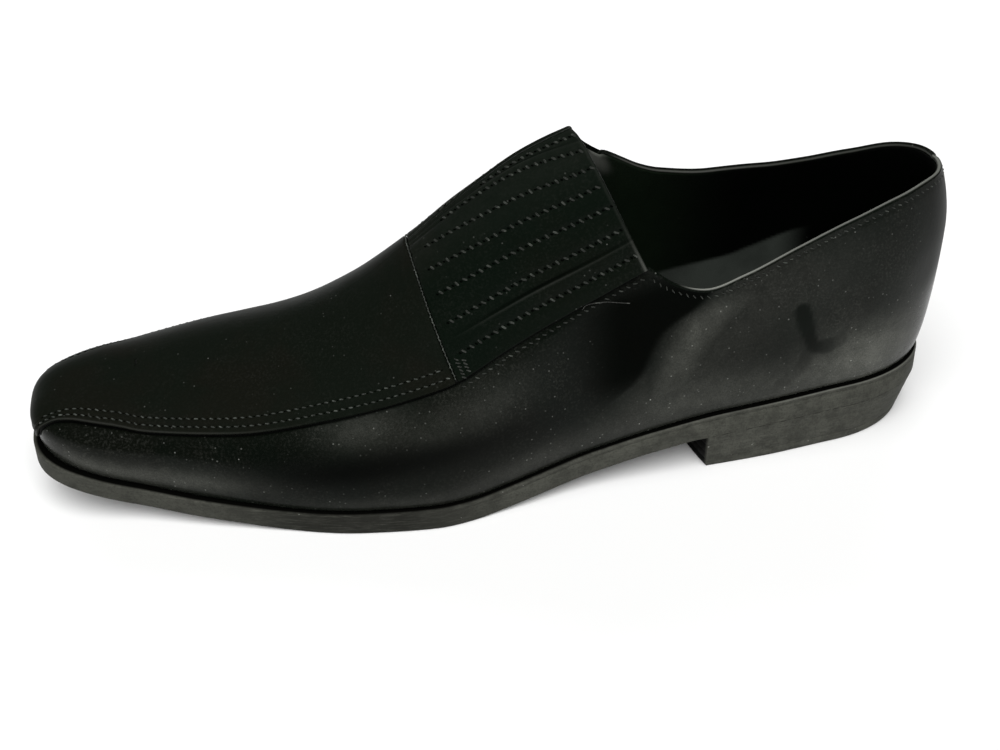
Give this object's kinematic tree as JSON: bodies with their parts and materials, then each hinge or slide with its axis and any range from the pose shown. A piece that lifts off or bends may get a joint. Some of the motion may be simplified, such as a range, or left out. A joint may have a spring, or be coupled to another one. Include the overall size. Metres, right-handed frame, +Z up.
{
  "type": "leather loafer",
  "caption": "Black leather slip-on loafer with a tucked instep panel, smooth apron vamp, long squared toe and low heel; hollow and open at the collar for a foot.",
  "frame": {"origin": "centre of the bounding box on the floor the shoe stands on", "axes": "+X from heel to toe, +Y to the wearer's left, which is the outer side of this left shoe, +Z up"},
  "size_m": [0.3068, 0.0974, 0.1149],
  "materials": {
    "upper_leather": "semi-gloss black",
    "apron_leather": "semi-gloss black",
    "panel_leather": "satin black, stitched tucks",
    "sock": "matt dark grey",
    "sole_rubber": "matt dark grey edge",
    "heel_rubber": "matt dark grey edge"
  },
  "bodies": {
    "root": {"upper": "upper_leather", "vamp_apron": "apron_leather", "instep_panel": "panel_leather", "insole": "sock", "outsole": "sole_rubber", "heel": "heel_rubber"}
  },
  "joints": []
}
